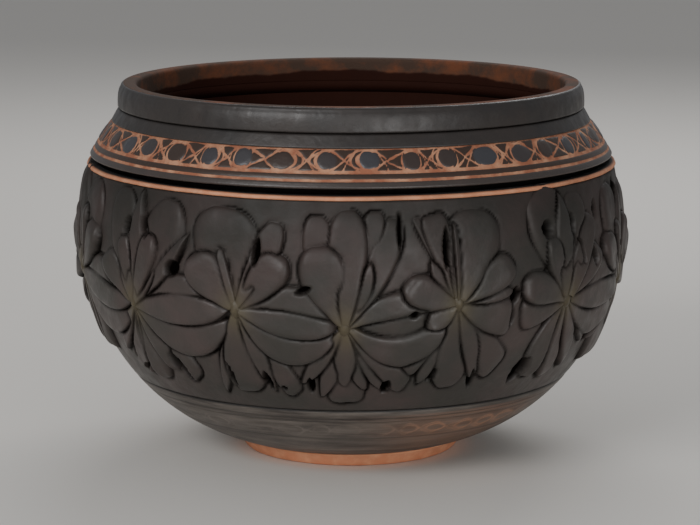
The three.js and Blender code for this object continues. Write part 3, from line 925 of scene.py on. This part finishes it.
# Black clay scratched away: orange clay in the strokes, a brown scraped ground between them, and
# pebbles of cool grey clay that kept their shine.
scratched_band, tree = start_material("black_clay_scratched_to_terracotta")
here = add(tree, "ShaderNodeTexCoord").outputs["Object"]
blotches = add(tree, "ShaderNodeTexNoise", {
    "Vector": here, "Scale": 1 / (9.0 * MM), "Detail": 4.0, "Roughness": 0.6,
})
chatter = add(tree, "ShaderNodeTexNoise", {
    "Vector": here, "Scale": 1 / (1.3 * MM), "Detail": 3.0,
})
scratch = add(tree, "ShaderNodeAttribute", attribute_name="scratch")
ragged = add(tree, "ShaderNodeMath", {
    0: chatter.outputs["Fac"], 1: 0.5, 2: scratch.outputs["Fac"],
}, operation="MULTIPLY_ADD")
bared = add(tree, "ShaderNodeMapRange", {
    "Value": ragged.outputs[0], "From Min": 0.62, "From Max": 0.95,
})
skin = add(tree, "ShaderNodeMix", {
    0: blotches.outputs["Fac"], 6: paint(BURNISHED), 7: paint(BURNISHED_BROWN),
}, data_type="RGBA")
# Painted shade: a per-point mark mixes the colour toward near-black under the band's lip.
shade_and_soot = add(tree, "ShaderNodeAttribute", attribute_name="shade_and_soot")
lined = add(tree, "ShaderNodeMix", {
    0: shade_and_soot.outputs["Fac"], 6: skin.outputs[2], 7: paint(SHADE_BLACK),
}, data_type="RGBA")
rubbed = add(tree, "ShaderNodeMapRange", {
    "Value": blotches.outputs["Fac"], "From Min": 0.4, "From Max": 0.7,
})
red = add(tree, "ShaderNodeMix", {
    0: rubbed.outputs[0], 6: paint(SCRATCHED), 7: paint(SCRATCHED_PALE),
}, data_type="RGBA")
ground = add(tree, "ShaderNodeAttribute", attribute_name="ground")
grounded = add(tree, "ShaderNodeMix", {
    0: ground.outputs["Fac"], 6: lined.outputs[2], 7: paint(SCRAPED_GROUND),
}, data_type="RGBA")
pebbled = add(tree, "ShaderNodeAttribute", attribute_name="pebble")
cooled = add(tree, "ShaderNodeMix", {
    0: pebbled.outputs["Fac"], 6: grounded.outputs[2], 7: paint(PEBBLE),
}, data_type="RGBA")
faced = add(tree, "ShaderNodeMix", {
    0: bared.outputs[0], 6: cooled.outputs[2], 7: red.outputs[2],
}, data_type="RGBA")
dulled = add(tree, "ShaderNodeMapRange", {
    "Value": bared.outputs[0], "To Min": 0.38, "To Max": 0.85,
})
pores = add(tree, "ShaderNodeBump", {
    "Height": chatter.outputs["Fac"], "Strength": 0.35, "Distance": 0.3 * MM,
})
clay = add(tree, "ShaderNodeBsdfPrincipled", {
    "Base Color": faced.outputs[2], "Roughness": dulled.outputs[0], "Normal": pores.outputs[0],
})
add(tree, "ShaderNodeOutputMaterial", {"Surface": clay.outputs[0]})

lip_radius = corners("shoulder_band")[1][0]
band_top = corners("neck_ring")[0][2] - SLIP
neck_top = corners("collar")[0][2] - SLIP
rim = corners("collar")[1][2]
lip = shoulder + LIP_RISE
undercut_radius = shoulder_radius - UNDERCUT
band_face = curve([
    (lip_radius, lip + 1.0),
    ((lip_radius + BAND_TOP_RADIUS) / 2 + BAND_SWELL, (lip + band_top) / 2 + BAND_SWELL),
    (BAND_TOP_RADIUS, band_top),
], BAND_ROWS)
band = turned("shoulder_band_scratched", [
    (undercut_radius, shoulder), (undercut_radius, lip - 0.6), (undercut_radius + 0.6, lip),
    (lip_radius - 0.9, lip), (lip_radius - 0.2, lip + 0.35),
    *band_face,
    (BAND_TOP_RADIUS - BAND_WALL, band_top), (shelf_radius, shoulder),
], "shoulder_band", BAND_STEPS)
band.data.materials.append(scratched_band)
radius, turn, height = read_places(band.data)
outer = (height > lip + 0.5) & (radius > BAND_TOP_RADIUS - 1)
sway = hand_sway(turn, 0.0)
pitch = math.tau * LATTICE_RADIUS / LOOPS
loop = (turn - FIRST_LOOP) * LOOPS / math.tau + 0.1 * hand_sway(5 * turn, 1.3)
count = np.round(loop)
gap_count = np.floor(loop)
across = (loop - count) * pitch + 0.8 * np.sin(4.7 * count)
across_gap = (loop - gap_count - 0.5) * pitch
middle = (LATTICE_LOW + LATTICE_HIGH) / 2 + 0.4 * np.sin(2.3 * count)
rise = height - middle
wide = PEBBLE_WIDE + 0.7 * np.sin(5.1 * count + 1.0)
facing = np.where(np.sin(3.7 * count) > 0, 1, -1)
leaning = np.where(np.sin(2.9 * gap_count + 0.4) > 0, 1, -1)
effort = 1 + 0.35 * np.sin(61 * turn + 0.7 * height) * np.sin(23 * turn + 1.0)
strokes = []
for grow, shift, half in ((1.0, 0.0, 0.42), (1.3, 1.0, 0.32)):
    tall = RING_TALL * grow
    away = (np.hypot((across - shift * facing) / (wide * grow), rise / tall) - 1) * tall
    strokes.append(stroke(away, half * effort) * (grow + facing * across / 9.0 > 0.7))
slope = 4.6 * math.pi / pitch * np.abs(np.cos(math.pi * across_gap / pitch))
for side in (-1, 1):
    bend = 4.6 * np.sin(math.pi * across_gap / pitch) * side
    strokes.append(stroke((rise - bend) / np.sqrt(1 + slope ** 2), 0.42 * effort))
tilt = math.radians(36) * leaning
away = (across_gap - 2.4 * leaning) * np.cos(tilt) - rise * np.sin(tilt)
strokes.append(stroke(away, 0.34 * effort) * (np.sin(7 * gap_count) > -0.6))
inside_lattice = stroke(height - (LATTICE_LOW + LATTICE_HIGH) / 2, 5.0, 0.2)
scratched = np.max(strokes, axis=0) * inside_lattice
ragged_top = 0.3 * hand_sway(3 * turn, 2.0)
borders = ((LATTICE_LOW, 0.7), (LATTICE_HIGH + ragged_top, 0.6 * effort), (THIN_LINE, 0.6))
for line_height, half in borders:
    scratched = np.maximum(scratched, stroke(height - line_height - 0.2 * sway, half))
pebble = np.clip(1.3 - np.hypot(across / wide, rise / PEBBLE_TALL) ** 2, 0, 1) * inside_lattice
ground_middle = (GROUND_LOW + GROUND_HIGH) / 2 + 0.5 * ragged_top
ground = stroke(height - ground_middle, (GROUND_HIGH - GROUND_LOW) / 2)
lift = PEBBLE_SWELL * pebble - SCRATCH_DEPTH * scratched - GROUND_DEPTH * ground
write_places(band.data, radius + lift * outer, turn, height)
mark(band.data, "scratch", scratched * outer)
mark(band.data, "ground", 0.9 * ground * outer)
mark(band.data, "pebble", np.clip(2 * pebble, 0, 1) * outer * (0.55 + 0.45 * np.sin(1.9 * count)))
# Painted shade: the undercut beneath the band's lip is coloured near-black.
undercut_shade = (height < lip + 0.2) & (radius < lip_radius - 0.5)
mark(band.data, "shade_and_soot", 1.0 * undercut_shade)
line_inside(band)

# ---- neck ring ----
# A plain burnished ring that carries the band's lean up to a thin line under the collar.
NECK_WAIST = 118.0
NECK_INSET = 0.4
MOUTH_WALL = 9.3
SHADED_COLLAR_CLAY = "262322"
SHADED_COLLAR_BROWN = "2e2825"
# The same burnished clay as the belly in a darker copy: painted shade that dims the upright
# neck and collar.
shaded_collar_clay = burnish("shaded_burnished_black_clay", SHADED_COLLAR_CLAY, SHADED_COLLAR_BROWN, 0.37)

neck_top_radius = corners("collar")[1][0] - NECK_INSET
mouth_radius = neck_top_radius - MOUTH_WALL
neck = turned("neck_ring_turned", [
    *curve([
        (BAND_TOP_RADIUS, band_top), (NECK_WAIST, band_top + 3.4),
        (neck_top_radius, neck_top - 0.5),
    ], 8),
    (neck_top_radius - 0.9, neck_top - 0.1), (neck_top_radius - 1.4, neck_top),
    (mouth_radius, neck_top), (BAND_TOP_RADIUS - BAND_WALL, band_top),
], "neck_ring")
neck.data.materials.append(shaded_collar_clay)
radius, turn, height = read_places(neck.data)
# Painted shade in the thin groove under the collar.
mark(neck.data, "shade_and_soot", stroke(height - neck_top, 0.3, 0.3))
line_inside(neck)

# ---- collar ----
# The upright rim, thickened by folding the clay and rounded over with a wet leather. Inside, the
# smoke left a pale uneven edge along the lip.
PALE_LIP = 7.0
SIDE_LIP = 3.0
COLLAR_STEPS = 720
collar_radius = corners("collar")[1][0]
collar = turned("collar_turned", [
    (neck_top_radius - 1.4, neck_top), (collar_radius - 0.5, neck_top + 0.1),
    (collar_radius, neck_top + 0.7),
    *curve([(collar_radius, neck_top + 1.2), (collar_radius + 0.1, neck_top + 8.0),
            (collar_radius - 1.4, rim - 2.0)], 8),
    *curve([(collar_radius - 1.6, rim - 1.5), (collar_radius - 2.0, rim),
            (collar_radius - 4.2, rim)], 6),
    *curve([(mouth_radius + 2.2, rim), (mouth_radius, rim - 0.1), (mouth_radius, rim - 2.0)], 6),
    *[(mouth_radius, float(height)) for height in np.linspace(rim - 3.0, neck_top + 0.5, 16)],
    (mouth_radius, neck_top),
], "collar", COLLAR_STEPS)
collar.data.materials.append(shaded_collar_clay)
radius, turn, height = read_places(collar.data)
line_inside(collar)
for face in collar.data.polygons:
    if face.normal.z > 0.7 and face.center.xy.length < (collar_radius - 2.8) * MM:
        face.material_index = 1
edge = rim - PALE_LIP - 1.1 * hand_sway(3 * turn, 0.9) - SIDE_LIP * np.sin(turn) ** 2
mark(collar.data, "pale_lip", np.clip((height - edge) / 0.9, 0, 1))
# Painted shade in the groove where the collar meets the neck.
mark(collar.data, "shade_and_soot", 0.8 * stroke(height - neck_top, 0.25, 0.25))

# ---- flowers ----
# Petals cut from thin slabs of the same clay, pressed on with slip and smoothed with a finger
# from the boss outwards, then burnished with the wall.
PETAL_LONG = 64
PETAL_CROSS = 28
BOSS_WIDE = 3.6
BOSS_TALL = 5.6
BOSS_LIFT = 2.9
BOSS_STEPS = 16
HEART_REACH = 7.0


def stand_off(along, up, above):
    """The place in metres that lies off the belly's wall, given on the unrolled wall."""
    turn = along / belly_radius
    slope = (wall_radius(up + 2.0) - wall_radius(up - 2.0)) / 4.0
    outwards = 1 / np.sqrt(1 + slope ** 2)
    reach = wall_radius(up) + above * outwards
    return np.stack([
        reach * np.sin(turn), -reach * np.cos(turn), up - above * outwards * slope,
    ], axis=-1) * MM


def press_on(shape, boss, along, up, above):
    """Lays a grid of clay on the belly, cuts its lines and holes, and notes the painted shade
    in its lines and holes and toward the shoulder, and how brown each place is."""
    long_steps, cross_steps = along.shape[0] - 1, along.shape[1] - 1
    made = bmesh.ops.create_grid(
        shape, x_segments=long_steps, y_segments=cross_steps, size=1.0,
    )
    lines = read_map(line_map, along, up)
    dug, deep = dug_holes(along, up)
    above = (above - LINE_DEPTH * lines) * (1 - dug) - deep * dug
    places = stand_off(along, up, above)
    # Painted shade in the lines and holes and toward the shoulder.
    shade = np.maximum(np.maximum(read_map(line_shade_map, along, up), dug), smoke_and_shade(up))
    warmth = np.exp(-(np.hypot(along - boss[0], (up - boss[1]) * 0.7) / HEART_REACH) ** 2)
    shade_layer = shape.verts.layers.float["shade_and_soot"]
    heart_layer = shape.verts.layers.float["heart"]
    for vertex in made["verts"]:
        row = round((vertex.co.x + 1) * 0.5 * long_steps)
        column = round((vertex.co.y + 1) * 0.5 * cross_steps)
        vertex.co = places[row, column]
        vertex[shade_layer] = shade[row, column]
        vertex[heart_layer] = warmth[row, column]


for number, (boss_turn, boss_height, petals, sides) in enumerate(flowers):
    boss = (math.radians(boss_turn) * belly_radius, boss_height)
    shape = bmesh.new()
    shape.verts.layers.float.new("shade_and_soot")
    shape.verts.layers.float.new("heart")
    for flower_number, root, petal in applied:
        if flower_number == number:
            press_on(shape, boss, *petal_surface(root, petal, PETAL_LONG, PETAL_CROSS))
    x, y = np.meshgrid(*[np.linspace(-1, 1, BOSS_STEPS + 1)] * 2, indexing="ij")
    disc_x, disc_y = x * np.sqrt(1 - y ** 2 / 2), y * np.sqrt(1 - x ** 2 / 2)
    dome = np.sqrt(np.clip(1 - disc_x ** 2 - disc_y ** 2, 0, 1))
    press_on(shape, boss, boss[0] + BOSS_WIDE * disc_x, boss[1] + BOSS_TALL * disc_y,
             -PETAL_BED + (BOSS_LIFT + PETAL_BED) * dome)
    for face in shape.faces:
        face.smooth = True
    name = f"flower_{number + 1:02d}_pressed"
    mesh = bpy.data.meshes.new(name)
    shape.to_mesh(mesh)
    shape.free()
    mesh.materials.append(burnished_clay)
    piece = bpy.data.objects.new(name, mesh)
    bpy.context.collection.objects.link(piece)
    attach(piece, "root")
    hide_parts(f"flower_{number + 1:02d}")
